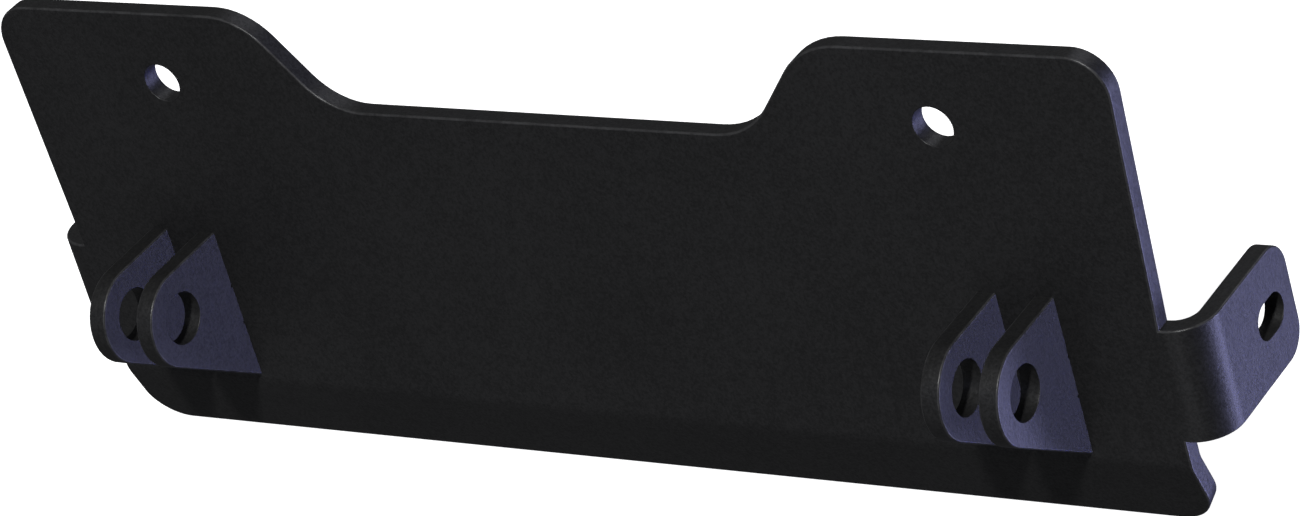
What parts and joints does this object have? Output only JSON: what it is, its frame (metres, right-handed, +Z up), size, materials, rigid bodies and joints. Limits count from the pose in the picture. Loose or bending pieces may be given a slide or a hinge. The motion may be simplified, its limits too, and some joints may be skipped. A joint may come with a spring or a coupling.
{
  "type": "atv plow mount bracket",
  "caption": "Folded steel mounting plate with paired clevis ears for a plow frame's pivot pins, bolt holes near its top corners and slotted side wings.",
  "frame": {"origin": "midway between the two upper bolt holes, on the plate's flat rear face", "axes": "+Z up the plate, +Y out of its rear face towards the vehicle, +X to the right as seen from the front, where the ears are"},
  "size_m": [0.4204, 0.0952, 0.1608],
  "materials": {
    "powder_coat": "satin black powder coat with a fine texture, on 6.35 mm steel",
    "coated_weld": "the same black coat over rippled weld metal"
  },
  "bodies": {
    "root": {"mount_plate": "powder_coat", "ear_left_outer": "powder_coat", "ear_left_inner": "powder_coat", "ear_right_inner": "powder_coat", "ear_right_outer": "powder_coat", "weld_left_outer": "coated_weld", "weld_left_inner": "coated_weld", "weld_right_inner": "coated_weld", "weld_right_outer": "coated_weld"}
  },
  "joints": []
}
